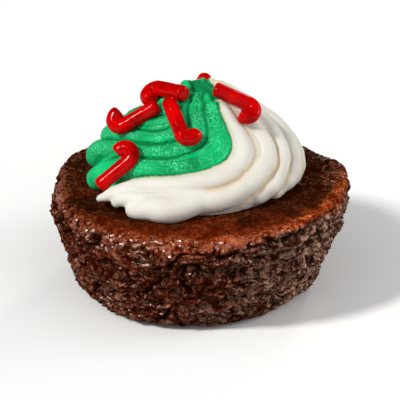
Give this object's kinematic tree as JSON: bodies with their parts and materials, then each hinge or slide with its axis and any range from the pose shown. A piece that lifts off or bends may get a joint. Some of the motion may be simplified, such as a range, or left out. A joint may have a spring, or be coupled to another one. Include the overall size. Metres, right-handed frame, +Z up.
{
  "type": "frosted brownie",
  "caption": "Small round brownie baked in a muffin cup, topped with a piped swirl of frosting and candy-cane sprinkles.",
  "frame": {"origin": "middle of the brownie's flat base, where it rests", "axes": "+Z up; -Y towards the side where the frosting's ridges run level; +X towards the side where the brownie's top is highest"},
  "size_m": [0.0478, 0.0478, 0.0338],
  "materials": {
    "brownie": "dark brown chocolate crumb, crackled and slightly glossy on top",
    "frosting": "soft white buttercream, one side of the swirl coloured green",
    "candy": "glossy red sugar candy"
  },
  "bodies": {
    "root": {"brownie": "brownie", "frosting": "frosting", "cane_1": "candy", "cane_2": "candy", "cane_3": "candy", "cane_4": "candy", "cane_5": "candy", "cane_6": "candy"}
  },
  "joints": []
}
